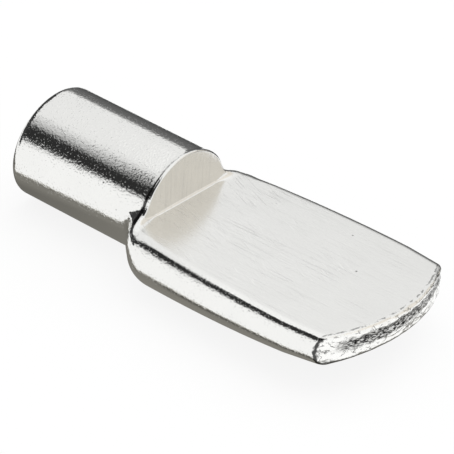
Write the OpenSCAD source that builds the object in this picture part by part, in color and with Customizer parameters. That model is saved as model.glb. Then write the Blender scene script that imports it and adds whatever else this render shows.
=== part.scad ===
// Shelf support pin, spoon type: one piece of round wire.
// The rear stays round and plugs into a drilled hole in the cabinet's side. The front is pressed
// down to a flat seat that the shelf lies on. The metal spreads out sideways there, so the sides
// are round, and the back of the spoon makes two shoulders that stop against the cabinet.
// The pin's axis is the X axis, and the origin is on it, where the shoulders touch the cabinet:
// the pin lies at minus X, the spoon at plus X, and the seat faces up.

/* [Pin] */
// Diameter of the round pin
pin_d = 5; // [4:0.1:6]
// Length of the pin, from its free end to the back of the shoulders
pin_len = 6.9; // [5:0.1:16]
// Radius on the edge of the pin's free end
end_round = 0.4; // [0.1:0.05:1]

/* [Step] */
// Distance of the half-moon step from the back of the shoulders
step_x = 0.55; // [0.4:0.05:1.2]
// How much smaller the bar's radius is at the step, where the pressing has drawn it in
step_draw = 0.05; // [0.02:0.01:0.1]
// Radius on the rim of the step
rim_round = 0.1; // [0.05:0.05:0.2]
// Radius of the fillet where the step stands on the seat
foot_round = 0.15; // [0.05:0.05:0.3]

/* [Spoon] */
// Length of the spoon, from the back of its shoulders to the middle of the tip
spoon_len = 11.9; // [10:0.1:20]
// Height of the flat seat above the pin's axis
seat_h = 0.4; // [0.2:0.05:1]
// Width of the flat seat where it is widest
seat_w = 7.6; // [7:0.1:9]
// Distance of the widest place from the back of the shoulders
widest_x = 8.4; // [6:0.1:9]
// Radius of the long curve of each side, seen from above
side_curve = 60; // [40:1:120]
// Radius of the rounded side walls at the shoulders, seen from the end
side_round = 1.55; // [1.2:0.05:1.8]
// Lean of the side walls where they leave the seat, in degrees
side_lean = 43; // [30:1:50]
// Distance from the back of the shoulders at which the underside begins to rise
rise_x = 0.2; // [0.1:0.05:0.25]

/* [Tip] */
// Thickness of the metal at the tip
tip_t = 1.3; // [1:0.05:1.8]
// Radius of the rounded side walls at the tip, where the metal is thinner
tip_round = 0.95; // [0.8:0.05:1.2]
// Radius of the curved tip, seen from above
tip_curve = 7.4; // [5:0.1:12]
// Length of the straight part of each side, where the spoon narrows towards the tip
narrow_len = 2.8; // [1.5:0.1:3.2]
// Angle by which each side turns in along that part, in degrees
narrow_angle = 5; // [2:0.5:8]

/* [Hidden] */
$fn = 96;
// How far joined solids run into each other, and how far cuts reach past what they cut
lap = 0.5;
sink = 0.2;
reach = 40;
// Steps in a quarter of a rounded edge, and balls along each side of the spoon
edge_steps = 8;
ball_steps = 12;

pin_r = pin_d / 2;
// From the back of the shoulders on, the bar is a cone, with this radius where the rim begins ...
step_r = pin_r - step_draw;
// ... and this one where it ends inside the spoon
end_r = pin_r - step_draw * (step_x + sink) / (step_x - rim_round);
// The long curve of a side is struck from a point this far past the middle line
curve_y = side_curve - seat_w / 2;
// Where the ball starts at the shoulder, where its path begins to narrow, and where it ends
shoulder_x = side_round;
narrow_x = spoon_len - narrow_len;
past_tip_x = spoon_len + lap;
// Width of the fillet at the foot of the step: it stops just inside the rounded rim
foot_w = 2 * sqrt(pow(step_r - 1.5 * rim_round, 2) - pow(seat_h + foot_round, 2));
// The underside rises in a straight line from the bottom of the bar to the tip
ramp_angle = atan((pin_r + seat_h - tip_t) / (spoon_len - rise_x));
// The keel begins just past the step, and ends where the narrowing begins: by there the underside
// has risen past the lowest points of the side walls
keel_x = step_x + 0.05;

// Distance of the seat's edge from the middle line, at a distance x from the shoulders
function edge_y(x) =
    let (straight = max(0, x - narrow_x))
    let (curved = x - straight - widest_x)
    sqrt(pow(side_curve, 2) - pow(curved, 2)) - curve_y - straight * tan(narrow_angle);

// Each side wall is the path of a ball that shrinks evenly from the shoulders to the tip
function ball_r(x) =
    side_round + (tip_round - side_round) * (x - shoulder_x) / (spoon_len - shoulder_x);

// The ball runs so that the flat of the seat cuts it at the edge, at the angle of the lean
function ball_place(x) =
    [x, edge_y(x) - ball_r(x) * cos(side_lean), seat_h - ball_r(x) * sin(side_lean)];

// Quarter of a circle of radius r round the point c, anticlockwise from the angle a
function quarter(c, r, a) =
    [for (i = [0:edge_steps]) c + r * [cos(a + 90 * i / edge_steps), sin(a + 90 * i / edge_steps)]];

// Turns an outline of [radius, distance] points round the X axis
module turned(outline) {
    rotate([0, 90, 0])
        rotate_extrude()
            polygon(outline);
}

// Everything above the seat, in front of x
module above_seat(x) {
    translate([x, -reach / 2, seat_h])
        cube(reach);
}

// The round bar: the pin with its rounded free end, and the cone between the shoulders and the
// step. Below the seat the bar ends a little further on, inside the spoon.
module pin() {
    difference() {
        turned(concat(
            [[0, -pin_len]],
            quarter([pin_r - end_round, end_round - pin_len], end_round, -90),
            [[pin_r, 0], [end_r, step_x + sink], [0, step_x + sink]]
        ));
        above_seat(step_x);
        rim_cut();
    }
}

// What the rounding takes off the rim of the step
module rim_cut() {
    intersection() {
        turned(concat(
            quarter([step_r - rim_round, step_x - rim_round], rim_round, 0),
            [
                [step_r - rim_round, step_x + lap],
                [pin_r + lap, step_x + lap],
                [pin_r + lap, step_x - rim_round]
            ]
        ));
        above_seat(0);
    }
}

// Spoon before it is trimmed: balls along both sides, a keel that carries the round of the pin
// on under the seat, and all that lies between them
module blank() {
    stations = [for (i = [0:ball_steps]) shoulder_x + (narrow_x - shoulder_x) * i / ball_steps];
    hull() {
        for (side = [0, 1], x = concat(stations, [past_tip_x]))
            mirror([0, side, 0])
                translate(ball_place(x))
                    sphere(ball_r(x), $fn = 48);
        translate([keel_x, 0, 0])
            rotate([0, 90, 0])
                cylinder(r = pin_r, h = narrow_x - keel_x, $fn = 48);
    }
}

// What stays of the blank: all that is under the seat and inside the curve of the tip
module trim() {
    translate([0, 0, seat_h - reach])
        linear_extrude(reach)
            union() {
                translate([spoon_len - tip_curve, 0])
                    circle(tip_curve, $fn = 360);
                translate([spoon_len - tip_curve - reach, -reach / 2])
                    square(reach);
            }
}

module spoon() {
    intersection() {
        blank();
        trim();
    }
}

// Fillet where the step stands on the seat, inside the rim of the step
module foot_fillet() {
    translate([step_x, foot_w / 2, seat_h])
        rotate([90, 0, 0])
            linear_extrude(foot_w)
                polygon(concat(
                    [[foot_round, -lap], [-lap, -lap], [-lap, foot_round]],
                    quarter([foot_round, foot_round], foot_round, 180)
                ));
}

// What lies below the rising underside
module under_cut() {
    translate([rise_x, -reach / 2, -pin_r])
        rotate([0, -ramp_angle, 0])
            translate([0, 0, -reach])
                cube(reach);
}

module shelf_pin() {
    color([0.78, 0.78, 0.76])
        difference() {
            union() {
                spoon();
                pin();
                foot_fillet();
            }
            under_cut();
        }
}

shelf_pin();
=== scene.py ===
# %% [markdown]
# A spoon shelf support is one short piece of round wire. Its rear stays round and plugs into a
# hole in the cabinet's side, and its front is pressed down to a flat seat for the shelf. The
# measured solid comes first: it is the fixed frame that the finished surface has to stay in.

# %% Load the fixed frame
import math
from functools import partial
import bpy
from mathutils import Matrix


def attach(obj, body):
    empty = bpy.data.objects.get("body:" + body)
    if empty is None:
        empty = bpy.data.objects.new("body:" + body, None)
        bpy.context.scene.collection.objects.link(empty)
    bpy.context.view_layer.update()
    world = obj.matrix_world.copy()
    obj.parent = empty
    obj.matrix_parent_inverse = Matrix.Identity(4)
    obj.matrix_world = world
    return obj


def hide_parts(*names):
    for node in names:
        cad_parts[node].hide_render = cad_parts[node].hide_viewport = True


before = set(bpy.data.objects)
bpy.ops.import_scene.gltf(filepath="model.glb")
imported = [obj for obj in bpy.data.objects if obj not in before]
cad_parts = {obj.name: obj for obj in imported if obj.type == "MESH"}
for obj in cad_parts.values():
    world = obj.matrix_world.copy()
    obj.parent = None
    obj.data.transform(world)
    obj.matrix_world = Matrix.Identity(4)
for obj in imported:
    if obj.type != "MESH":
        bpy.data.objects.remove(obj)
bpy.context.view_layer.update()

from types import SimpleNamespace

import bpy
from mathutils import Matrix, Vector

# %% [markdown]
# The whole piece follows a rule: a round bar, two sides that are the path of a ball, a flat seat,
# a sloping underside and a curved tip. Geometry Nodes can hold such a rule as a formula, and this
# small class makes formulas easy to write: what looks like a sum below is a Math node with two
# wires. Bevels on a modelled copy would tear where these round faces run into each other, but a
# formula gives each edge its radius.

# %% Numbers that live in a node tree
class Field:
    """One number at every point, carried by a socket of a node tree."""

    def __init__(self, socket):
        self.socket = socket


def feed(socket, value):
    """Wires a field or a node's output to a socket, or writes a plain value on it."""
    source = value.socket if isinstance(value, Field) else value
    if isinstance(source, bpy.types.NodeSocket):
        socket.id_data.links.new(source, socket)
    else:
        socket.default_value = source


def add_node(tree, kind, inputs=None, **settings):
    """A new node, with its settings made and its inputs fed by name or by number."""
    node = tree.nodes.new(kind)
    for name, value in settings.items():
        setattr(node, name, value)
    for key, value in (inputs or {}).items():
        feed(node.inputs[key], value)
    return node


def calculate(operation, *values):
    """One Math node, in the tree that its fields belong to."""
    tree = next(value.socket.id_data for value in values if isinstance(value, Field))
    node = add_node(tree, "ShaderNodeMath", dict(enumerate(values)), operation=operation)
    return Field(node.outputs[0])


def add_operator(name, operation):
    """Lets a field stand on either side of a sign such as +, beside a field or a number."""
    setattr(Field, f"__{name}__", lambda field, other: calculate(operation, field, other))
    setattr(Field, f"__r{name}__", lambda field, other: calculate(operation, other, field))


OPERATORS = {"add": "ADD", "sub": "SUBTRACT", "mul": "MULTIPLY", "truediv": "DIVIDE"}
for name, operation in OPERATORS.items():
    add_operator(name, operation)
print("Fields can be used with", len(OPERATORS), "operators")

# %% [markdown]
# Next come the few functions that the formulas use. Most are one Math node. "share" turns a
# length into a number from 0 to 1, which switches a finish or a rounding on along the piece, and
# "stretches" joins such runs into a line with bends, like a rail between stations.

# %% Functions of fields
MM = 0.001
root = partial(calculate, "SQRT")
sine = partial(calculate, "SINE")
cosine = partial(calculate, "COSINE")
arcsine = partial(calculate, "ARCSINE")
size_of = partial(calculate, "ABSOLUTE")
less = partial(calculate, "MINIMUM")
more = partial(calculate, "MAXIMUM")
is_more = partial(calculate, "GREATER_THAN")


def length(a, b):
    return root(a * a + b * b)


def share(a, low=0.0, high=1.0):
    """How far a has come from low to high, from 0 to 1."""
    return less(more((a - low) / (high - low), 0.0), 1.0)


def eased(a, low=0.0, high=1.0):
    """As share, but with a soft start and a soft end."""
    t = share(a, low, high)
    return t * t * (3.0 - 2.0 * t)


def between(a, b, t):
    return a + (b - a) * t


def chosen(test, if_over, if_not):
    """if_over where test is above 0, else if_not."""
    return between(if_not, if_over, is_more(test, 0.0))


def band(a, middle, half, soft):
    """1 within half of middle, fading to 0 over soft more."""
    return 1.0 - share(size_of(a - middle), half, half + soft)


def plateau(a, rise_from, rise_to, fall_from, fall_to):
    """0, then 1 between its two soft slopes, then 0 again."""
    return eased(a, rise_from, rise_to) * (1.0 - eased(a, fall_from, fall_to))


def stretches(place, stations):
    """Straight stretches through (place, value) stations, flat before and after them."""
    start, last = stations[0]
    total = last
    for end, value in stations[1:]:
        total = total + share(place, start, end) * (value - last)
        start, last = end, value
    return total


def parts_of(tree, vector):
    """The X, Y and Z of a vector, as fields."""
    split = add_node(tree, "ShaderNodeSeparateXYZ", {0: vector})
    return [Field(socket) for socket in split.outputs]


def place_in_mm(tree, position):
    """The X, Y and Z of a position in metres, as fields in millimetres."""
    return [part * (1 / MM) for part in parts_of(tree, position)]


print("Functions ready: share(3, 2, 6) would be", (3 - 2) / (6 - 2))

# %% [markdown]
# Solids can be held as distances: below 0 inside the metal, above 0 outside it. Then the larger of
# two distances is what both solids share, and the smaller is both together. These two versions
# give the sharp corner a round of the given radius, as a worn press tool would leave it.

# %% Joining and cutting with round corners
def joined(a, b, radius):
    """Two solids in one, with a fillet in the corner between them."""
    return more(less(a, b), radius) - length(more(radius - a, 0.0), more(radius - b, 0.0))


def shared(a, b, radius):
    """What two solids have in common, with its new edge rounded."""
    return less(more(a, b), 0.0 - radius) + length(more(a + radius, 0.0), more(b + radius, 0.0))


print("Round joins and cuts ready")

# %% [markdown]
# The sizes come next, in millimetres and radians, with the origin on the bar's axis where the
# shoulders stop against the cabinet. They go into each tree as named inputs. The small ones, such
# as the lip behind the step or the slant of the cut end, are what the press and the shear leave.

# %% Sizes of the piece
SIZES = SimpleNamespace(
    pin_radius=2.5, pin_length=6.9, end_rounding=0.32, end_slant=0.09,
    step_x=0.55, lip_height=0.06, lip_width=0.32, rim_rounding=0.1,
    foot_fillet=0.06, foot_end_fillet=0.35,
    shoulder_flare=0.5, squareness=0.3, shoulder_edge=0.2,
    spoon_length=11.9, seat_height=0.4, seat_width=7.6, seat_edge=0.13, widest_x=8.4,
    side_curve=60.0, side_rounding=1.55, tip_side_rounding=0.95, side_lean=math.radians(43),
    under_x=0.2, under_edge=0.2,
    tip_thickness=1.22, tip_curve=7.4, tip_edge=0.18, tip_relief=0.05, tip_seed=3.0,
    narrow_length=2.8, narrow_angle=math.radians(5),
)


def new_tree(name, inputs, output):
    """An empty node group, the sockets of its inputs, and the sizes among them as fields."""
    tree = bpy.data.node_groups.new(name, "GeometryNodeTree")
    sockets = [(label, "INPUT", kind) for label, kind in inputs.items()]
    sockets += [(label, "INPUT", "Float") for label in vars(SIZES)] + [("Result", "OUTPUT", output)]
    for label, way, kind in sockets:
        tree.interface.new_socket(name=label, in_out=way, socket_type="NodeSocket" + kind)
    given = tree.nodes.new("NodeGroupInput").outputs
    return tree, given, SimpleNamespace(**{label: Field(given[label]) for label in vars(SIZES)})


print("Whole length:", SIZES.pin_length + SIZES.spoon_length, "mm")

# %% [markdown]
# The metal that the press pushes aside leaves round sides. Each is the path of a ball that rolls
# along the spoon and shrinks towards the tip, and the flat of the seat cuts the ball at a fixed
# lean. At each x this function gives the ball, its path, the slope of the underside, and the wide
# "belly" arc that joins the two balls under the seat.

# %% Lines that the rule and the net share
def guide_lines(size, x):
    line = SimpleNamespace()
    shoulder = size.side_rounding
    ball = between(shoulder, size.tip_side_rounding, share(x, shoulder, size.spoon_length))
    line.ball = ball
    line.ball_z = size.seat_height - ball * sine(size.side_lean)

    curve_y = size.side_curve - size.seat_width / 2.0
    straight = more(x - (size.spoon_length - size.narrow_length), 0.0)
    curved = more(x, shoulder) - straight - size.widest_x
    turn_in = straight * calculate("TANGENT", size.narrow_angle)
    edge_y = root(size.side_curve * size.side_curve - curved * curved) - curve_y - turn_in
    line.path_y = edge_y - ball * cosine(size.side_lean)

    rise = size.pin_radius + size.seat_height - size.tip_thickness
    line.slope = rise / (size.spoon_length - size.under_x)
    line.under_z = (x - size.under_x) * line.slope - size.pin_radius

    low = size.pin_radius + line.ball_z
    across = line.path_y * line.path_y + low * low - ball * ball
    line.belly_r = across / ((low - ball) * 2.0)
    line.belly_z = line.belly_r - size.pin_radius
    return line


def shoulder_gap(size, x, how_square):
    """How far a section lies behind the place where the ball's back is rounded off."""
    return size.side_rounding - x - size.squareness * how_square


rise = SIZES.pin_radius + SIZES.seat_height - SIZES.tip_thickness
print("The underside rises", round(rise, 2), "mm from the bar to the tip")

# %% [markdown]
# Now the rule itself: the distance from any point to the finished surface. It goes in the order of
# the bench: the bar with its slightly slanted end, the pressed blank with its shoulders, the flare
# where the two meet, the flat of the seat with its step, the cut of the tip, and the underside.
# Each cut leaves an edge with a rounding of its own. The pairs of numbers say where such a change
# begins and where it is complete.

# %% The rule of the shape
BAR_LAP = 0.3
BAR_END_X = 2.0
BAR_END_Z = -0.6
LIP_Z = (-0.8, 0.2)
SQUARE_Z = (-0.9, 0.3, 0.4, 0.8)
PAST_RIM_X = 0.4
PAST_RIM_Y = (1.9, 2.5)
SEAT_EDGE_X = (1.0, 2.4)
LEAST_FLARE = 0.2
FLARE_Z = (-2.2, -1.0)
FOOT_END_Y = (1.7, 2.8)
UNDER_EDGE_X = (1.0, 3.0)


def bar_distance(size, x, y, z):
    """The round bar, with the lip that the press has raised just behind the step."""
    end = size.end_rounding
    step = size.step_x
    lip = share(x, step - size.lip_width, step) * share(z, *LIP_Z)
    across = length(y, z) - size.pin_radius + end - lip * lip * size.lip_height
    behind = end - size.pin_length - x + z * size.end_slant
    return length(more(across, 0.0), more(behind, 0.0)) - end + less(more(across, behind), 0.0)


def blank_distance(size, line, x, y, z):
    """The pressed blank: two ball paths, the belly between them, and round shoulders."""
    ball = line.ball
    rise_to_ball = line.ball_z - line.belly_z
    turn = line.path_y * (z - line.belly_z) - rise_to_ball * y
    side = length(more(y - line.path_y, 0.0), z - line.ball_z) - ball
    belly = more(length(y, z - line.belly_z) - line.belly_r, z - line.ball_z - ball)
    inside = chosen(turn, side, belly) + ball
    back = shoulder_gap(size, x, plateau(z, *SQUARE_Z))
    return length(more(inside, 0.0), more(back, 0.0)) - ball + less(more(inside, back), 0.0)


def top_edge(size, x, y):
    """Rounding of the edge all round the seat and the step."""
    step = size.step_x
    past_rim = more(share(x, step, step + PAST_RIM_X), eased(y, *PAST_RIM_Y))
    edge = between(size.rim_rounding, size.shoulder_edge, past_rim)
    return between(edge, size.seat_edge, eased(x, *SEAT_EDGE_X))


def build_rule():
    tree, given, size = new_tree("Distance to the metal", {"Position": "Vector"}, "Float")
    x, y, z = place_in_mm(tree, given["Position"])
    y = size_of(y)
    line = guide_lines(size, x)
    step = size.step_x

    bar_end = less(x - step - BAR_LAP, more(z - BAR_END_Z, x - BAR_END_X))
    bar = more(bar_distance(size, x, y, z), bar_end)
    flare = size.shoulder_flare * between(LEAST_FLARE, 1.0, share(z, *FLARE_Z))
    metal = joined(bar, blank_distance(size, line, x, y, z), flare)

    foot = between(size.foot_fillet, size.foot_end_fillet, eased(y, *FOOT_END_Y))
    top = joined(x - step, z - size.seat_height, foot)
    metal = shared(metal, top, top_edge(size, x, y))

    tip_x = size.spoon_length - size.tip_curve
    tip = length(more(x - tip_x, 0.0), y) - size.tip_curve
    metal = shared(metal, tip, size.tip_edge)

    under = (line.under_z - z) / root(line.slope * line.slope + 1.0)
    metal = shared(metal, under, size.under_edge * share(x, *UNDER_EDGE_X))
    add_node(tree, "NodeGroupOutput", {0: metal})
    return tree


rule_tree = build_rule()
print("Rule of the shape:", len(rule_tree.nodes), "nodes")

# %% [markdown]
# A rule isn't a surface yet. Newton's method brings a point near the surface onto it: measure the
# distance here and a hair further along each axis, which gives the direction uphill, then go back
# by the distance. Fields are read at the Position of each point, so one tree does this for the
# whole mesh at once, and a few rounds of it are enough.

# %% One round of settling onto the surface
HAIR = 0.005
LONGEST_MOVE = 0.4
FLATTEST = 0.2


def position_in(tree):
    return tree.nodes.new("GeometryNodeInputPosition").outputs[0]


def moved(tree, mesh, target, parts):
    """The mesh with the points' Position set, or moved by an Offset, in metres."""
    vector = add_node(tree, "ShaderNodeCombineXYZ", dict(enumerate(parts)))
    wires = {"Geometry": mesh, target: vector.outputs[0]}
    return add_node(tree, "GeometryNodeSetPosition", wires).outputs[0]


def build_settle():
    tree, given, size = new_tree("Settle onto the metal", {"Mesh": "Geometry"}, "Geometry")
    here = position_in(tree)

    def distance(*way):
        beside = {0: here, 1: [part * HAIR * MM for part in way]}
        place = add_node(tree, "ShaderNodeVectorMath", beside, operation="ADD").outputs[0]
        wires = {"Position": place, **vars(size)}
        return Field(add_node(tree, "GeometryNodeGroup", wires, node_tree=rule_tree).outputs[0])

    now = distance(0, 0, 0)
    slopes = [(distance(*way) - now) / HAIR for way in ((1, 0, 0), (0, 1, 0), (0, 0, 1))]
    steep = slopes[0] * slopes[0] + slopes[1] * slopes[1] + slopes[2] * slopes[2]
    back = less(more(now, -LONGEST_MOVE), LONGEST_MOVE) / more(steep, FLATTEST) * -MM
    settled = moved(tree, given["Mesh"], "Offset", [slope * back for slope in slopes])
    add_node(tree, "NodeGroupOutput", {0: settled})
    return tree


settle_tree = build_settle()
print("One round of settling:", len(settle_tree.nodes), "nodes")

# %% [markdown]
# The mesh is a tube with closed ends, like a sock pulled over the piece. Its rings count from the
# middle of the pin's cut end to the middle of the tip, and its columns from the bottom, up both
# sides, to the top. Even spacing would leave the small roundings ragged, so the stations crowd the
# rings at the step and the tip, and the columns where the edge of the seat runs.

# %% Stations of the net's rings and columns
RINGS = SimpleNamespace(
    end_face=8, end_edge=15, behind_step=60, shoulder_back=66, rim=82, step_face=88, foot=112,
    paddle=120, tip=212, tip_edge=224, nose=232, pole=284,
)
HALF = 145
BOTTOM_EDGE, LOW_SIDE, SIDE, SEAT_EDGE, CORNER, SHOULDER, STEP = 42, 45, 48, 80, 84, 88, 98
JUST = 0.5
STEP_ANGLE = 16
COLUMN_ANGLES = [
    (0, -90), (SIDE, -38), (SEAT_EDGE, -6), (SHOULDER, 4), (STEP, STEP_ANGLE), (HALF, 90),
]


def column_angle(k):
    """Angle of a column round the bar, from the bottom over one side to the top."""
    return stretches(k, [(place, math.radians(angle)) for place, angle in COLUMN_ANGLES])


print("Net:", RINGS.pole, "rings by", 2 * HALF, "columns")

# %% [markdown]
# Newton's method only finds the right surface from nearby, so each point of the net starts on a
# plain version of the shape, without roundings. Along the spoon that is a section with a flat top,
# a ball on each side, and the underside. Column k finds its place on it here.

# %% Starting places along the spoon
BACK_ANGLES = (-0.3, 0.1)
TINY = 0.0001
LOWEST_SINE = -0.97
EDGE_TURN = 0.09
UNDER_EDGE_STRIP = 0.12
SEAT_EDGE_STRIP = 0.1


def round_back(size, k, x):
    """How far x lies behind the ball's back, for a column's height on the shoulder."""
    return more(shoulder_gap(size, x, eased(column_angle(k), *BACK_ANGLES)), 0.0)


def step_width(size):
    """Half the width of the flat seat at the step."""
    line = guide_lines(size, size.step_x)
    behind = shoulder_gap(size, size.step_x, 1.0)
    over = size.seat_height - line.ball_z
    return line.path_y + root(line.ball * line.ball - behind * behind - over * over)


def section(size, k, x):
    """Place of column k on the sharp-edged blank, in the section at x."""
    line = guide_lines(size, x)
    behind = round_back(size, k, x)
    radius = root(more(line.ball * line.ball - behind * behind, TINY))
    over = (size.seat_height - line.ball_z) / radius
    seat_angle = arcsine(less(over, 1.0))
    below = (line.under_z - line.ball_z) / radius
    low_angle = arcsine(less(more(below, LOWEST_SINE), 0.0))
    width = line.path_y + radius * cosine(seat_angle)

    low_side = [(LOW_SIDE, low_angle), (SIDE, low_angle + EDGE_TURN)]
    high_side = [(SEAT_EDGE, seat_angle - EDGE_TURN), (CORNER, seat_angle)]
    angle = stretches(k, low_side + high_side)
    side_y = line.path_y + radius * cosine(angle)
    side_z = line.ball_z + radius * sine(angle)

    low_y = line.path_y + radius * cosine(low_angle)
    bottom = [(0, 0.0), (BOTTOM_EDGE, low_y - UNDER_EDGE_STRIP), (LOW_SIDE, low_y)]
    flat_y = stretches(k, bottom)
    belly = line.belly_z - root(line.belly_r * line.belly_r - flat_y * flat_y)
    flat_z = more(line.under_z, belly)

    bar_width = width * size.pin_radius / step_width(size)
    step_y = bar_width * math.cos(math.radians(STEP_ANGLE))
    seat = [(CORNER, width), (SHOULDER, width - SEAT_EDGE_STRIP), (STEP, step_y)]
    seat_y = chosen(k - (STEP - JUST), bar_width * cosine(column_angle(k)), stretches(k, seat))

    on_top = k - (CORNER + JUST)
    on_side = k - (LOW_SIDE - JUST)
    y = chosen(on_top, seat_y, chosen(on_side, side_y, flat_y))
    z = chosen(on_top, size.seat_height, chosen(on_side, side_z, flat_z))
    return y, z


print("Sections of the spoon ready")

# %% [markdown]
# Behind the step the same columns lie on the round bar, and fan out over the backs of the
# shoulders. There each goes straight out from the bar's axis until it leaves the ball, because a
# section would cut the backs at a slant.

# %% Starting places on the bar and the shoulders
PIN_END_X = -0.4
FAN_CLEARANCE = 0.1


def fan(size, k, x):
    """Place of column k on the bar or the back of a shoulder, straight out from the axis."""
    line = guide_lines(size, x)
    behind = round_back(size, k, x)
    turn = column_angle(k)
    along = line.path_y * cosine(turn) + line.ball_z * sine(turn)
    off = line.path_y * sine(turn) - line.ball_z * cosine(turn)
    half = root(more(line.ball * line.ball - behind * behind - off * off, 0.0))
    out = more(along + half, size.pin_radius) + eased(x, PIN_END_X, 0.0) * FAN_CLEARANCE
    return out * cosine(turn), out * sine(turn)


print("Columns start", FAN_CLEARANCE, "mm outside the shoulders")

# %% [markdown]
# Now every ring gets its x. On the pin the rings cross the cut end, round its edge and run along
# the bar. At the step the upper columns climb over the rim and down the face, while the lower ones
# go round the shoulder. On the spoon the rings bend more and more towards the curve of the tip,
# and past it they shrink to its middle.

# %% Starting places of the whole net
RIM_REACH = 0.08
FOOT_REACH = 0.17
SHOULDER_R = 1.5
BACK_CLIMB = 0.25
TIP_BAND = 0.3
TIP_SIDE_X = 0.7
BLEND = 14.0
SPREAD_X = (0.4, 1.6)
LEAST_HEIGHT = 0.4
FACE_DROP, FOOT_DROP = 0.04, 0.93
NOSE_SHARE = 0.05


def ring_x_behind(size, row, k):
    """Where the rings lie along X, from behind the step to the start of the spoon."""
    step = size.step_x
    start = RINGS.behind_step
    paddle = RINGS.paddle
    rim = [(start, PIN_END_X), (RINGS.rim, step - RIM_REACH), (RINGS.step_face, step)]
    top_x = stretches(row, rim + [(RINGS.foot, step), (paddle, step + FOOT_REACH)])
    last = math.acos(1 - (SIZES.step_x + FOOT_REACH) / SHOULDER_R)
    climb = stretches(row, [(start, 0.0), (RINGS.shoulder_back, BACK_CLIMB), (paddle, last)])
    side_x = stretches(row, [(start, PIN_END_X), (RINGS.shoulder_back, 0.0)])
    side_x = side_x + (1.0 - cosine(climb)) * SHOULDER_R
    return between(top_x, side_x, eased(STEP - k, 0.0, BLEND))


def tip_curve_x(size, y):
    """The curve of the tip, seen from above."""
    centre = size.spoon_length - size.tip_curve
    return centre + root(size.tip_curve * size.tip_curve - y * y)


def spoon_ring_x(size, row, k):
    """Where the rings lie along X on the spoon: straight at the step, curved at the tip."""
    y_near_tip, _ = section(size, k, size.spoon_length - TIP_SIDE_X)
    end_x = tip_curve_x(size, y_near_tip) - TIP_BAND
    run = stretches(row, [(RINGS.paddle, 0.0), (RINGS.tip, 1.0)])
    start_x = size.step_x + FOOT_REACH
    return between(start_x, end_x, run) + share(row, RINGS.tip, RINGS.tip_edge) * TIP_BAND


def start_places(size, row, k):
    """Starting place of every point of the net, in millimetres."""
    pin = size.pin_radius
    end = size.end_rounding
    turn = column_angle(k)
    tube = [(0, 0.0), (RINGS.end_face, pin - end), (RINGS.end_edge, pin)]
    tube_r = stretches(row, tube)
    cut_x = 0.0 - size.pin_length
    tube = [(RINGS.end_face, cut_x), (RINGS.end_edge, cut_x + end)]
    tube_x = stretches(row, tube + [(RINGS.behind_step, PIN_END_X)])

    on_spoon = row - (RINGS.paddle - JUST)
    x = chosen(on_spoon, spoon_ring_x(size, row, k), ring_x_behind(size, row, k))
    y, z = section(size, k, x)
    fan_y, fan_z = fan(size, k, x)
    face = [(RINGS.rim, 0.0), (RINGS.step_face, FACE_DROP), (RINGS.foot, FOOT_DROP)]
    drop = stretches(row, face + [(RINGS.paddle, 1.0)])
    over = between(drop, eased(x, *SPREAD_X), eased(STEP - k, 0.0, BLEND))
    high_y, _ = section(size, k, more(x, size.step_x))
    high_z = root(more(pin * pin - high_y * high_y, LEAST_HEIGHT**2))
    on_step = k - (STEP - JUST)
    y = chosen(on_step, high_y, between(fan_y, y, over))
    z = chosen(on_step, between(high_z, size.seat_height, drop), between(fan_z, z, over))

    to_pole = [(RINGS.tip_edge, 0.0), (RINGS.nose, NOSE_SHARE), (RINGS.pole, 1.0)]
    nose = stretches(row, to_pole)
    y = y * (1.0 - nose)
    z = between(z, size.seat_height - size.tip_thickness / 2.0, nose)
    x = chosen(row - (RINGS.tip_edge - JUST), tip_curve_x(size, y), x)

    in_tube = RINGS.behind_step + JUST - row
    x = chosen(in_tube, tube_x, x)
    y = chosen(in_tube, tube_r * cosine(turn), y)
    z = chosen(in_tube, tube_r * sine(turn), z)
    return x, y, z


print("Starting places ready, from the cut end to the tip")

# %% [markdown]
# The tip was sheared off the wire. A shear leaves a smooth rolled edge above and torn metal below
# it, with a ragged groove along the middle. This is real relief, a few hundredths of a millimetre
# deep, so it is pushed into the mesh: two sizes of noise and a groove, along the tip's own curve.
# Each noise has its grain, its height and its seed, so the tear is the same every time.

# %% Ragged tip
FRONT_X = (5.0, 6.0)
TIP_SKIN = (-0.14, -0.02)
GROOVE_MIDDLE, GROOVE_SPAN = (0.43, 0.36), (-3.0, 3.0)
GROOVE_Y = (-3.3, -2.0)
GROOVE_HALF = 0.26
TEAR = ((0.5, 0.5, 0.22), 1.6, 0.0)
WAVE = ((1.6, 1.6, 0.6), 1.2, 9.0)
SWAY = ((0.8, 0.8, 0.5), 0.3, 5.0)


def groove_middle(y):
    """Where the groove runs, as a share of the thickness from the seat down."""
    return between(*GROOVE_MIDDLE, share(y, *GROOVE_SPAN))


def seeded_noise(tree, position, first_seed, grain_mm, height, seed):
    """Noise around 0, of the given height, with grains of the given size along X, Y and Z."""
    grains = {0: position, 1: [1 / (value * MM) for value in grain_mm]}
    scaled = add_node(tree, "ShaderNodeVectorMath", grains, operation="MULTIPLY").outputs[0]
    wires = {"Vector": scaled, "W": first_seed + seed, "Scale": 1.0, "Detail": 1.0}
    node = add_node(tree, "ShaderNodeTexNoise", wires, noise_dimensions="4D")
    return (Field(node.outputs[0]) - 0.5) * height


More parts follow.
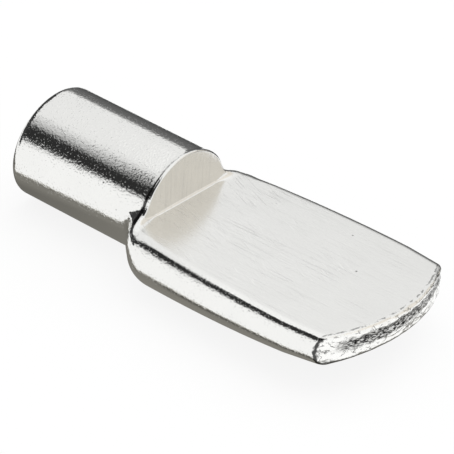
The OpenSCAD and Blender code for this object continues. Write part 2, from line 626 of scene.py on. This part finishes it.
def roughen_tip(tree, size, mesh):
    """Pushes the sheared face in and out along the tip's curve."""
    here = position_in(tree)
    tear = seeded_noise(tree, here, size.tip_seed, *TEAR)
    wave = seeded_noise(tree, here, size.tip_seed, *WAVE)
    sway = seeded_noise(tree, here, size.tip_seed, *SWAY)
    x, y, z = place_in_mm(tree, here)
    from_centre = x - size.spoon_length + size.tip_curve
    reach = length(from_centre, y)
    on_tip = share(reach - size.tip_curve, *TIP_SKIN) * share(x, *FRONT_X)
    down = (size.seat_height - z) / size.tip_thickness
    off_groove = size_of(down - groove_middle(y) - sway)
    groove = eased(1.0 - off_groove / GROOVE_HALF) * share(y, *GROOVE_Y)
    push = (tear + wave - groove) * on_tip * size.tip_relief * MM
    return moved(tree, mesh, "Offset", [push * from_centre / reach, push * y / reach])


print("Tip relief, in mm:", SIZES.tip_relief)

# %% [markdown]
# The net is built in one tree. Each point of a cylinder reads its ring and column number off the
# cylinder's shape, and goes to its starting place. Where rings bunch up at the shoulders, the Blur
# Attribute node evens them out, as far as the mask "loose" allows. Then come the rounds of
# settling, the ragged tip, Realize Instances and the material. A subdivided box could be pulled to
# shape by hand, but it wouldn't follow new sizes.

# %% Build the net
BLURS_AND_ROUNDS = ((30, 3), (20, 3), (10, 6))
LOOSE_ROWS = (RINGS.behind_step - 4, RINGS.behind_step + 8,
              RINGS.paddle + 4, RINGS.paddle + 16)
LOOSE_AT_STEP = (STEP - 16, STEP - 4, STEP + 4, STEP + 10)
LOOSE_AT_BASE = (36, 44, 54, 66)
SIDE_RINGS = RINGS.pole - 2


def ring_and_column(tree):
    """Ring number, and column number from -HALF to HALF, of each point of the cylinder."""
    x, y, z = parts_of(tree, position_in(tree))
    row = calculate("ROUND", z + SIDE_RINGS / 2 + 1.0)
    at_pole = calculate("LESS_THAN", length(x, y), 0.5)
    row = row + at_pole * calculate("SIGN", z)
    column = calculate("ROUND", calculate("ARCTAN2", y, x) * (HALF / math.pi))
    return row, column


def loose_mask(row, k):
    """Where the net may be evened out: at the corners of the step and of the underside."""
    return plateau(row, *LOOSE_ROWS) * more(plateau(k, *LOOSE_AT_STEP), plateau(k, *LOOSE_AT_BASE))


def placed(tree, size, tube):
    """The cylinder's points at their starting places, and the mask kept from the cylinder."""
    row, column = ring_and_column(tree)
    k = size_of(column)
    x, y, z = start_places(size, row, k)
    keep = tree.nodes.new("GeometryNodeCaptureAttribute")
    keep.capture_items.new("FLOAT", "loose")
    feed(keep.inputs["Geometry"], tube)
    feed(keep.inputs["loose"], loose_mask(row, k))
    place = [part * MM for part in (x, y * calculate("SIGN", column), z)]
    mesh = moved(tree, keep.outputs["Geometry"], "Position", place)
    return mesh, keep.outputs["loose"]


def evened(tree, mesh, loose, turns):
    """Evens the positions out between neighbours, as far as the mask allows."""
    wires = {"Value": position_in(tree), "Iterations": turns, "Weight": loose}
    blur = add_node(tree, "GeometryNodeBlurAttribute", wires, data_type="FLOAT_VECTOR")
    wires = {"Geometry": mesh, "Position": blur.outputs[0]}
    return add_node(tree, "GeometryNodeSetPosition", wires).outputs[0]


def build_net():
    inputs = {"Mesh": "Geometry", "Finish": "Material"}
    tree, given, size = new_tree("Net over the metal", inputs, "Geometry")
    wires = {"Vertices": 2 * HALF, "Side Segments": SIDE_RINGS, "Radius": 1.0}
    wires["Depth"] = float(SIDE_RINGS)
    tube = add_node(tree, "GeometryNodeMeshCylinder", wires, fill_type="TRIANGLE_FAN")
    mesh, loose = placed(tree, size, tube.outputs["Mesh"])
    for turns, rounds in BLURS_AND_ROUNDS:
        mesh = evened(tree, mesh, loose, turns)
        for _ in range(rounds):
            wires = {"Mesh": mesh, **vars(size)}
            mesh = add_node(tree, "GeometryNodeGroup", wires, node_tree=settle_tree).outputs[0]
    mesh = roughen_tip(tree, size, mesh)
    mesh = add_node(tree, "GeometryNodeSetShadeSmooth", {"Geometry": mesh}).outputs[0]
    mesh = add_node(tree, "GeometryNodeRealizeInstances", {0: mesh}).outputs[0]
    wires = {"Geometry": mesh, "Material": given["Finish"]}
    painted = add_node(tree, "GeometryNodeSetMaterial", wires).outputs[0]
    add_node(tree, "NodeGroupOutput", {0: painted})
    return tree


net_tree = build_net()
print("Net over the metal:", len(net_tree.nodes), "nodes")

# %% [markdown]
# The piece is steel with a bright nickel plate, tumbled with thousands of others before plating.
# So it mirrors its surroundings, but every mirror line has a grainy edge, the flat seat is duller
# and finely scratched, and the sheared tip is torn. One metal does it all: masks on Object
# coordinates tell where each trace lies, and noises measured in millimetres draw it. A Mapping
# node of type Texture does the measuring: its scale is the size of a grain.

# %% Grains measured in millimetres
UNTURNED = (0.0, 0.0, 0.0)


def new_material(name):
    """A new material, and its node tree."""
    material = bpy.data.materials.new(name)
    material.use_nodes = True
    return material, material.node_tree


nickel, metal_tree = new_material("bright nickel")
metal = metal_tree.nodes["Principled BSDF"]
metal.inputs["Metallic"].default_value = 1.0
spot = metal_tree.nodes.new("ShaderNodeTexCoord").outputs["Object"]
x, y, z = place_in_mm(metal_tree, spot)


def even(grain_mm):
    return (grain_mm, grain_mm, grain_mm)


def grain_node(kind, grain_mm, turn=UNTURNED, **inputs):
    """A texture whose grains measure grain_mm along X, Y and Z, turned by turn."""
    wires = {"Vector": spot, "Rotation": turn, "Scale": [value * MM for value in grain_mm]}
    fit = add_node(metal_tree, "ShaderNodeMapping", wires, vector_type="TEXTURE")
    return add_node(metal_tree, kind, {"Vector": fit.outputs[0], "Scale": 1.0, **inputs})


def grain(grain_mm, detail=2.0, turn=UNTURNED):
    """Noise from 0 to 1, around 0.5."""
    return Field(grain_node("ShaderNodeTexNoise", grain_mm, turn, Detail=detail).outputs[0])


def crests(grain_mm, low, high, detail=2.0, turn=UNTURNED):
    """Only the crests of a noise: 0 where it is below low, 1 where it is above high."""
    return share(grain(grain_mm, detail, turn), low, high)


print("Metal ready for its finish:", nickel.name)

# %% [markdown]
# First the masks of the places. A dark line with frayed edges is painted along the corners of the
# tip, its upper and lower edge, and behind the step's rim, where it widens towards the shoulders:
# painted shade in the tip's corners, and painted dark reflections along the edges and the rim. A
# pair of numbers is where a mask begins and where it is full, three are a line's middle, half width
# and soft edge, and the gaps have a grain in front.

# %% Masks of the places on the piece
SEAT_X, SEAT_Z = (0.57, 0.75), (0.36, 0.398)
STEP_X, STEP_END_X, STEP_Z = (0.53, 0.548), (0.56, 0.6), (0.42, 0.5)
TIP_FACE, TIP_FACE_Z = (-0.12, -0.05), (0.38, 0.33)
CORNER_LINE, CORNER_Z, CORNER_Y = (-0.10, 0.03, 0.035), (0.36, 0.30), (2.9, 3.2)
BRIM_LINE, BRIM_Z, BRIM_GAPS = (-0.17, 0.02, 0.03), (0.36, 0.38), (even(0.25), 0.44, 0.54)
LOWER_EDGE = (0.90, 0.96)
RIM_X, RIM_HALF, RIM_SOFT, RIM_WIDER, RIM_SOFTER = 0.39, 0.02, 0.03, 0.07, 0.02
SHOULDER_Z, RIM_Z, RIM_END_Z = (1.9, 0.5), (0.25, 0.45), (2.45, 1.9)
FRAY_GRAIN, FRAY, FINE_FRAY = 0.12, 0.12, 0.10

on_seat = share(x, *SEAT_X) * share(z, *SEAT_Z)
on_step = share(x, *STEP_X) * (1.0 - share(x, *STEP_END_X)) * share(z, *STEP_Z)
tip_gap = length(x - SIZES.spoon_length + SIZES.tip_curve, y) - SIZES.tip_curve
near_tip = share(x, *FRONT_X)
on_tip = share(tip_gap, *TIP_FACE) * near_tip * share(z, *TIP_FACE_Z)
down = (SIZES.seat_height - z) / SIZES.tip_thickness

fray = grain(even(FRAY_GRAIN)) - 0.5
# Painted shade: a dark line along the tip's corners
corner = band(tip_gap + fray * FRAY, *CORNER_LINE) * near_tip
corner = corner * share(z, *CORNER_Z) * share(size_of(y), *CORNER_Y)
# Painted dark reflection: a broken dark line along the tip's upper edge, at the front of the seat
painted_brim_reflection = band(tip_gap + fray * FINE_FRAY, *BRIM_LINE) * near_tip * share(z, *BRIM_Z)
painted_brim_reflection = painted_brim_reflection * crests(*BRIM_GAPS)
# Painted dark reflection: a dark line along the tip's lower edge
painted_lower_edge_reflection = share(down + fray * FRAY, *LOWER_EDGE) * on_tip
# Painted dark reflection: a dark line behind the step's rim, wider towards the shoulders
to_shoulder = share(z, *SHOULDER_Z)
wider = to_shoulder * RIM_WIDER
rim_x = x + wider + fray * FINE_FRAY
painted_rim_reflection = band(rim_x, RIM_X, wider + RIM_HALF, to_shoulder * RIM_SOFTER + RIM_SOFT)
painted_rim_reflection = painted_rim_reflection * share(z, *RIM_Z) * share(z, *RIM_END_Z)
print("Masks made of", len(metal_tree.nodes), "nodes so far")

# %% [markdown]
# Shelves slide over the seat, so its scratches run along the piece, in patches, and near the step
# others cross them at a slant. A scratch is a noise stretched to fifty times its width, of which
# only the crests are kept. The press leaves upright lines on the step in the same way, and
# tumbling leaves pits, each in a cell of a Voronoi pattern picked by chance. A row has the grain,
# where its crests begin and are full, the detail of the noise, and its turn.

# %% Scratches, press lines and pits
ALONG = ((2.5, 0.045, 1.0), 0.56, 0.72, 3.0)
ACROSS = ((1.2, 0.04, 1.0), 0.6, 0.72, 2.0, (0.0, 0.0, math.radians(-22)))
PAINTED_GLINT_STREAKS = ((0.7, 0.04, 1.0), 0.66, 0.74, 1.0, (0.0, 0.0, math.radians(-26)))
PATCHES = ((2.4, 1.2, 1.0), 0.47, 0.60)
PRESS_LINES = ((1.0, 0.06, 1.6), 0.5, 0.75)
BRUSH_GRAIN = (0.8, 0.07, 0.5)
NEAR_STEP_X = (2.0, 4.5)
LEAST_ALONG, LEAST_ACROSS = 0.25, 0.5
CELL, PIT_EDGE, PIT_CHANCE = 0.9, (0.03, 0.07), 0.72

patches = crests(*PATCHES)
along = crests(*ALONG) * between(LEAST_ALONG, 1.0, patches)
near_step = 1.0 - share(x, *NEAR_STEP_X)
across = crests(*ACROSS) * between(patches * LEAST_ACROSS, 1.0, near_step)
scratches = (along + across) * on_seat
# Painted highlights: bright glints in the seat's patches, painted into the base colour
painted_glints = patches * crests(*PAINTED_GLINT_STREAKS) * on_seat
brushed = (grain(BRUSH_GRAIN) - 0.5) * on_seat
press_lines = crests(*PRESS_LINES) * on_step

cells = grain_node("ShaderNodeTexVoronoi", even(CELL))
chance = parts_of(metal_tree, cells.outputs["Color"])[0]
pits = 1.0 - share(Field(cells.outputs["Distance"]), *PIT_EDGE)
pits = pits * is_more(chance, PIT_CHANCE)
print("Scratches", ALONG[0][1], "mm wide, pits", round(2 * CELL * PIT_EDGE[1], 2), "mm across")

# %% [markdown]
# On the torn face the groove is painted dark, as painted shade in specks packed closest in its
# middle, and fine dark cracks wind over the rest. A crack is where a noise passes through its
# middle value, which gives a thin winding line, and a second noise breaks the lines up.

# %% Torn tip
GROOVE_SWAY = 0.25
GROOVE_WIDTH, GROOVE_SOFT = 0.15, 0.10
GROOVE_MASK_Y = (-3.3, -2.7)
RAGGED = ((0.35, 0.35, 0.12), 3.0)
TORN_SPECKS = ((0.17, 0.17, 0.05), 0.44, 0.56, 3.0)
CRACK_GRAIN, CRACK_WIDTH = (0.42, 0.42, 0.26), 0.035
CRACK_GAPS = (even(0.3), 0.42, 0.55)
SPECK_DARKNESS = (0.35, 1.1)

ragged = grain(*RAGGED) - 0.5
groove = band(down, groove_middle(y) + ragged * GROOVE_SWAY, GROOVE_WIDTH, GROOVE_SOFT)
groove = groove * share(y, *GROOVE_MASK_Y)
torn_specks = crests(*TORN_SPECKS)
crack_noise = grain(CRACK_GRAIN)
cracks = 1.0 - share(size_of(crack_noise - 0.5), 0.0, CRACK_WIDTH)
cracks = cracks * crests(*CRACK_GAPS)
# Painted shade: the groove darkened in specks; the painted dark lines of the masks and the dark
# cracks join it below
painted_shade_and_cracks = groove * between(*SPECK_DARKNESS, torn_specks) * on_tip
darkness_table = [
    (cracks * on_tip, 0.85),
    (painted_lower_edge_reflection, 0.8),
    (corner, 0.95),
    (painted_brim_reflection, 0.6),
    (painted_rim_reflection, 0.9),
]
for line, darkness in darkness_table:
    painted_shade_and_cracks = more(painted_shade_and_cracks, line * darkness)
print("Torn tip: groove", round(2 * GROOVE_WIDTH * SIZES.tip_thickness, 2), "mm wide")

# %% [markdown]
# Nickel is a warm grey-white metal, a little less bright than silver. The traces make one
# brightness that multiplies the metal's colour, and the table has what each adds to it, painted
# highlights on the seat among them; the painted shade darkens it after. The Mix node isn't clamped,
# because a painted glint may be brighter than the plain plate.

# %% Colour of the plate
PLATE_COLOR = (0.83, 0.83, 0.812, 1.0)
BLACK, WHITE = (0.0, 0.0, 0.0, 1.0), (1.0, 1.0, 1.0, 1.0)
PIT_DARKNESS, DEEPEST = 0.55, 0.96
brightness_table = [
    (grain(even(2.2)) - 0.5, 0.06),
    (grain(even(0.07)) - 0.5, 0.06),
    (brushed, 0.045),
    (painted_glints, 0.09),
    (scratches, -0.12),
    (press_lines, -0.10),
    (on_tip, 0.12),
]


def total(start, table):
    """Start plus each trace times its amount."""
    return sum((trace * amount for trace, amount in table), start)


def tinted(tree, amount, start, end):
    """A colour socket that goes from start to end by amount, without a clamp."""
    # A Mix node has sockets for every type: those for colours are 6 and 7, and its third output
    wires = {0: amount, 6: start, 7: end}
    paint = add_node(tree, "ShaderNodeMix", wires, data_type="RGBA", clamp_factor=False)
    return paint.outputs[2]


# The painted glints lighten the plate's colour and the painted shade darkens it
level = total(1.0, brightness_table) * (1.0 - pits * PIT_DARKNESS) * (1.0 - painted_shade_and_cracks * DEEPEST)
feed(metal.inputs["Base Color"], tinted(metal_tree, level, BLACK, PLATE_COLOR))
print("Plate colour:", PLATE_COLOR[:3])

# %% [markdown]
# Roughness keeps the round parts bright and makes the rubbed seat satin. The bump adds what is
# too fine for the mesh, in thousandths of a millimetre: orange peel and specks that make the edge
# of each mirror line grainy, slow waves, and the depth of scratches, pits and cracks. Each row has
# the height on the round parts and the height on the seat.

# %% Roughness and fine relief
PLAIN_ROUGHNESS = 0.05
roughness_table = [(on_seat, 0.17), (scratches, 0.1), (on_step, 0.1), (pits, 0.2), (on_tip, 0.12)]
feed(metal.inputs["Roughness"], total(PLAIN_ROUGHNESS, roughness_table))

specks = crests(even(0.085), 0.60, 0.68, 1.0, (0.4, 0.2, 0.0))
relief_table = [
    (specks, 2.4, 0.6),
    (grain(even(0.10), 1.0), 5.5, 2.0),
    (grain(even(1.4), 1.0), 6.0, 4.0),
    (scratches, -1.2, -1.2),
    (press_lines, -2.0, -2.0),
    (pits, -6.0, -6.0),
]
torn_table = [(ragged, 14.0), (crack_noise, 20.0), (cracks, -6.0), (torn_specks * groove, 8.0)]
height = total(total(0.0, torn_table) * on_tip, [
    (trace, between(on_round, if_seat, on_seat)) for trace, on_round, if_seat in relief_table
])
wires = {"Height": height, "Strength": 1.0, "Distance": MM / 1000}
bump = add_node(metal_tree, "ShaderNodeBump", wires)
feed(metal.inputs["Normal"], bump.outputs[0])
print("Finish:", len(metal_tree.nodes), "nodes")

# %% [markdown]
# The tree becomes the piece through a modifier. Its inputs are set by their identifiers before
# Blender evaluates it for the first time. The result is turned into a plain closed mesh, and the
# modifier goes, because the library keeps meshes. The piece then stands for the solid.

# %% Make the piece
def add_object(name, data):
    """A new object in the scene."""
    thing = bpy.data.objects.new(name, data)
    bpy.context.scene.collection.objects.link(thing)
    return thing


empty_mesh = bpy.data.meshes.new("shelf_support")
support = add_object("shelf_support", empty_mesh)
modifier = support.modifiers.new("Net", "NODES")
modifier.node_group = net_tree
values = {**vars(SIZES), "Finish": nickel}
for item in net_tree.interface.items_tree:
    if item.name in values:
        modifier[item.identifier] = values[item.name]
evaluated = support.evaluated_get(bpy.context.evaluated_depsgraph_get())
finished_mesh = bpy.data.meshes.new_from_object(evaluated)
support.modifiers.remove(modifier)
support.data = finished_mesh
bpy.data.meshes.remove(empty_mesh)
print("Piece:", len(finished_mesh.vertices), "points,", len(finished_mesh.polygons), "faces")
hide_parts("shelf_pin")
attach(support, "root")

# %% [markdown]
# A product table is a sheet of white paper. Lit to pure white it would also throw light on the
# piece, so a Light Path node splits its two jobs: to the lamps it is plain matt paper that keeps
# a soft shadow, and to the camera and in mirrors it is mostly an even white.

# %% Floor
FLOOR_Z = -0.0025
WHITE_SHARE = 0.86
MIRRORED_WHITE = 1.08


def emission(tree, strength, color=WHITE):
    """An Emission shader's socket. Strength and colour may be plain or wired."""
    wires = {"Strength": strength, "Color": color}
    return add_node(tree, "ShaderNodeEmission", wires).outputs[0]


def is_seen(tree, *kinds):
    """1 for rays of the given kinds, such as "Is Camera Ray", else 0."""
    path = tree.nodes.new("ShaderNodeLightPath")
    return less(sum(Field(path.outputs[kind]) for kind in kinds), 1.0)


def mixed(tree, amount, first, second):
    """A shader socket with the given amount of the second shader."""
    wires = {0: amount, 1: first, 2: second}
    return add_node(tree, "ShaderNodeMixShader", wires).outputs[0]


bpy.ops.mesh.primitive_plane_add(size=2.0, location=(0, 0, FLOOR_Z))
floor = bpy.context.object
floor.name = "floor"
paper, paper_tree = new_material("white paper")
matt = paper_tree.nodes["Principled BSDF"]
matt.inputs["Base Color"].default_value = (0.9, 0.9, 0.9, 1.0)
matt.inputs["Roughness"].default_value = 0.9
matt.inputs["Specular IOR Level"].default_value = 0.0
seen_paper = mixed(paper_tree, WHITE_SHARE, matt.outputs[0], emission(paper_tree, 1.0))
camera_ray = is_seen(paper_tree, "Is Camera Ray")
paper_light = mixed(paper_tree, camera_ray, matt.outputs[0], seen_paper)
mirror_ray = is_seen(paper_tree, "Is Glossy Ray", "Is Transmission Ray")
paper_light = mixed(paper_tree, mirror_ray, paper_light, emission(paper_tree, MIRRORED_WHITE))
feed(paper_tree.nodes["Material Output"].inputs["Surface"], paper_light)
floor.data.materials.append(paper)
print("Floor at z =", FLOOR_Z, "m, just under the pin")

# %% [markdown]
# The light is plain: a room a little darker than white for all that it lights, and one large
# softbox from above for the shadow. The softbox is hidden from mirrors, because the cards below
# draw what the metal shows.

# %% Room and softbox
ROOM = 0.75
BOX_PLACE = Vector((0.05, 0.1, 0.35))
world = bpy.data.worlds.new("studio")
bpy.context.scene.world = world
world.use_nodes = True
room = world.node_tree.nodes["Background"]
room.inputs["Color"].default_value = WHITE
seen = is_seen(world.node_tree, "Is Camera Ray", "Is Glossy Ray", "Is Transmission Ray")
feed(room.inputs["Strength"], between(ROOM, 1.0, seen))

box_light = bpy.data.lights.new("softbox", "AREA")
box_light.shape = "SQUARE"
box_light.size = 0.5
box_light.energy = 0.9
softbox = add_object("softbox", box_light)
softbox.location = BOX_PLACE
softbox.rotation_euler = (-BOX_PLACE).to_track_quat("-Z", "Y").to_euler()
softbox.visible_glossy = False
print("Softbox", round(BOX_PLACE.length, 2), "m away,", box_light.size, "m wide")

# %% [markdown]
# Polished metal shows nothing but its surroundings, so product studios hang white and black cards
# round it. These do the same, and the object's visibility settings keep them out of sight of the
# camera and of matt surfaces.

# %% Cards that only the metal sees
def metal_only(name, points, faces, make_light):
    """A card that only the metal sees; make_light(tree) gives its Emission shader's socket."""
    mesh = bpy.data.meshes.new(name)
    mesh.from_pydata(points, [], faces)
    card = add_object(name, mesh)
    card.visible_camera = card.visible_diffuse = card.visible_shadow = False
    cloth, tree = new_material(name)
    tree.nodes.remove(tree.nodes["Principled BSDF"])
    feed(tree.nodes["Material Output"].inputs["Surface"], make_light(tree))
    mesh.materials.append(cloth)
    print("Card:", name, "with", len(faces), "faces")
    return card


# %% [markdown]
# The largest card is a light tent: half a pipe over the bar's axis, from the floor in front to
# the floor behind. Its brightness depends on the angle round the bar, given as stops. A black
# strip low in front gives the dark line along the pin and the spoon's side, the bright top their
# long highlights, and the dim rear the dark upper outline. The parts of the piece mirror
# different lengths of the tent, so the stops also change along X, given in metres.

# %% Light tent
TENT_R = 0.07
TENT_X = (-0.080, 0.09)
HEM_LIFT, HEM_REACH = 0.0001, 0.010
FREE_END_X = (-0.0515, -0.0475)
PIN_LAST_X = (-0.0450, -0.0430)
REAR_LAST_X = (0.020, 0.028)
STEP_SIDE_X = (0.015, 0.025)
STEP_SIDE_ANGLE = (math.radians(100), math.radians(115))
STEP_TINT = (0.90, 0.855, 0.79, 1.0)
BEHIND_ANGLE = -1.6
FREE_END_STOPS = [
    (6, 1.08), (13, 0.75), (17, 0.06), (22, 0.03), (44, 0.03), (48, 0.35), (58, 0.7), (72, 0.95),
]
PIN_STOPS = [
    (14, 1.08), (19, 0.75), (22, 0.06), (25, 0.03), (40, 0.03), (44, 0.35), (54, 0.62),
    (68, 0.88), (80, 0.95),
]
SPOON_STOPS = [
    (12, 1.08), (17, 0.8), (20, 0.06), (24, 0.03), (60, 0.03), (66, 0.8), (76, 1.08),
    (120, 1.08), (134, 0.97),
]
REAR_STOPS = [(150, 1.0), (154, 0.30), (160, 0.17), (180, 0.13), (194, 0.06)]


def by_angle(angle, stops):
    """Brightness at an angle, from stops in degrees."""
    return stretches(angle, [(math.radians(degrees), value) for degrees, value in stops])


def tent_light(tree):
    """Brightness by the angle round the bar, from 0 at the floor in front to 180 behind."""
    x, y, z = parts_of(tree, tree.nodes.new("ShaderNodeTexCoord").outputs["Object"])
    angle = calculate("ARCTAN2", z, y * -1.0)
    angle = angle + calculate("LESS_THAN", angle, BEHIND_ANGLE) * math.tau
    pin_side, free_side = by_angle(angle, PIN_STOPS), by_angle(angle, FREE_END_STOPS)
    pin = between(free_side, pin_side, share(x, *FREE_END_X))
    front = between(pin, by_angle(angle, SPOON_STOPS), share(x, *PIN_LAST_X))
    rear = between(by_angle(angle, REAR_STOPS), 1.0, share(x, *REAR_LAST_X))
    step_side = share(x, *STEP_SIDE_X) * share(angle, *STEP_SIDE_ANGLE)
    return emission(tree, front * rear, tinted(tree, step_side, WHITE, STEP_TINT))


arc = [math.radians(angle) for angle in range(0, 181, 5)]
hem_z = FLOOR_Z + HEM_LIFT
profile = [(-TENT_R, hem_z)]
profile += [(-TENT_R * math.cos(angle), TENT_R * math.sin(angle)) for angle in arc]
profile += [(TENT_R, hem_z), (HEM_REACH, hem_z)]
count = len(profile)
tent_points = [(x, y, z) for x in TENT_X for y, z in profile]
tent_faces = [(i, i + 1, count + i + 1, count + i) for i in range(count - 1)]
metal_only("light tent", tent_points, tent_faces, tent_light)

# %% [markdown]
# A dark card closes the tent beyond the pin. Only faces that look towards it mirror it, so it
# draws dark outlines on the rim of the cut end, the flare behind the shoulders, and the lip.

# %% End card
END_HEIGHT = 0.060
END_BRIGHTNESS = 0.05
corners = ((-TENT_R, FLOOR_Z), (TENT_R, FLOOR_Z), (TENT_R, END_HEIGHT), (-TENT_R, END_HEIGHT))
end_points = [(TENT_X[0], y, z) for y, z in corners]
metal_only("end card", end_points, [(0, 1, 2, 3)], lambda tree: emission(tree, END_BRIGHTNESS))

# %% [markdown]
# The floor under a shiny piece mirrors as dark, because the piece shades it. The white paper
# can't show that in mirrors, so a thin sheet lies on it, with its brightness in an attribute on its
# points: dim under the piece, darkest just inside its outline, and white at the rim. Its outline
# is in millimetres, and the table of brightness goes by X in metres.

# %% Shade under the piece
SHADE_LIFT = 0.00005
SHADE_TINT = (1.0, 0.96, 0.86, 1.0)
SHADE_LINE = [
    (-16.0, 0.0), (-16.0, 4.0), (-14.0, 5.5), (-10.0, 5.0), (-8.6, 3.6), (-8.1, 3.7),
    (-2.1, 4.5), (0.3, 4.6), (2.0, 4.8), (6.0, 5.0), (9.5, 4.9), (11.5, 4.6), (12.4, 3.4),
    (12.9, 1.8), (13.0, 0.0),
]
RING_OFFSETS = (-0.7, -0.15, 0.3)
SHADE_BRIGHTNESS = [
    (-0.0095, (0.08, 0.08, MIRRORED_WHITE)),
    (0.001, (0.24, 0.20, MIRRORED_WHITE)),
    (0.020, (0.24, 0.08, MIRRORED_WHITE)),
]
TINT_FROM, TINT_FULL = 1.0, 0.3


def shade_light(tree):
    reading = add_node(tree, "ShaderNodeAttribute", attribute_name="shade")
    brightness = Field(reading.outputs["Fac"])
    dimness = share(brightness, TINT_FROM, TINT_FULL)
    return emission(tree, brightness, tinted(tree, dimness, WHITE, SHADE_TINT))


def shade_ring(offset):
    """The outline of the shade, moved outwards by offset."""
    line = [Vector(point) for point in SHADE_LINE + [(x, -y) for x, y in SHADE_LINE[-2:0:-1]]]
    ring = []
    for before, point, after in zip(line[-1:] + line, line, line[1:] + line[:1]):
        point = point + (after - before).orthogonal().normalized() * offset
        ring.append((*(point * MM), FLOOR_Z + SHADE_LIFT))
    return ring


def shade_at(x, ring):
    """Brightness of a ring's point, by its X."""
    return next(rings[ring] for last_x, rings in SHADE_BRIGHTNESS if x <= last_x)


shade_points = [point for offset in RING_OFFSETS for point in shade_ring(offset)]
count = len(shade_points) // len(RING_OFFSETS)
shade_faces = [tuple(range(count))]
for start in range(0, count * (len(RING_OFFSETS) - 1), count):
    pairs = [(i, (i + 1) % count) for i in range(count)]
    shade_faces += [(start + i, start + j, start + count + j, start + count + i) for i, j in pairs]
shade = metal_only("shade", shade_points, shade_faces, shade_light)
darkness = shade.data.attributes.new("shade", "FLOAT", "POINT")
for i, point in enumerate(shade_points):
    darkness.data[i].value = shade_at(point[0], i // count)

# %% [markdown]
# The camera stands well back with a long lens, as for a catalogue, and looks down on the seat from
# the front corner of the piece. Three angles turn it, and then it moves so that the middle of the
# step falls on a chosen pixel, at a chosen scale.

# %% Camera
IMAGE = 454
SENSOR = 36.0
AZIMUTH, ELEVATION, ROLL = (math.radians(angle) for angle in (38.908, 32.553, 3.69))
TARGET = Vector((SIZES.step_x * MM, 0.0, 0.0))
TARGET_PIXEL = (184.853, 207.276)
PIXELS_PER_METRE = 24592.4
DISTANCE = 0.138889

turns = ((AZIMUTH, "Z"), (math.pi / 2 - ELEVATION, "X"), (ROLL, "Z"))
first, second, third = (Matrix.Rotation(angle, 3, axis) for angle, axis in turns)
turned = first @ second @ third
to_right = (TARGET_PIXEL[0] - IMAGE / 2) / PIXELS_PER_METRE
to_top = (IMAGE / 2 - TARGET_PIXEL[1]) / PIXELS_PER_METRE

lens = bpy.data.cameras.new("camera")
lens.sensor_width = SENSOR
lens.lens = PIXELS_PER_METRE * DISTANCE / IMAGE * SENSOR
lens.clip_start = 0.01
camera = add_object("camera", lens)
place = turned.to_4x4()
place.translation = TARGET - turned @ Vector((to_right, to_top, -DISTANCE))
camera.matrix_world = place
bpy.context.scene.camera = camera
bpy.context.scene.view_settings.view_transform = "Standard"
print("Camera", round(DISTANCE * 1000), "mm away, lens", round(lens.lens), "mm")

# %% [markdown]
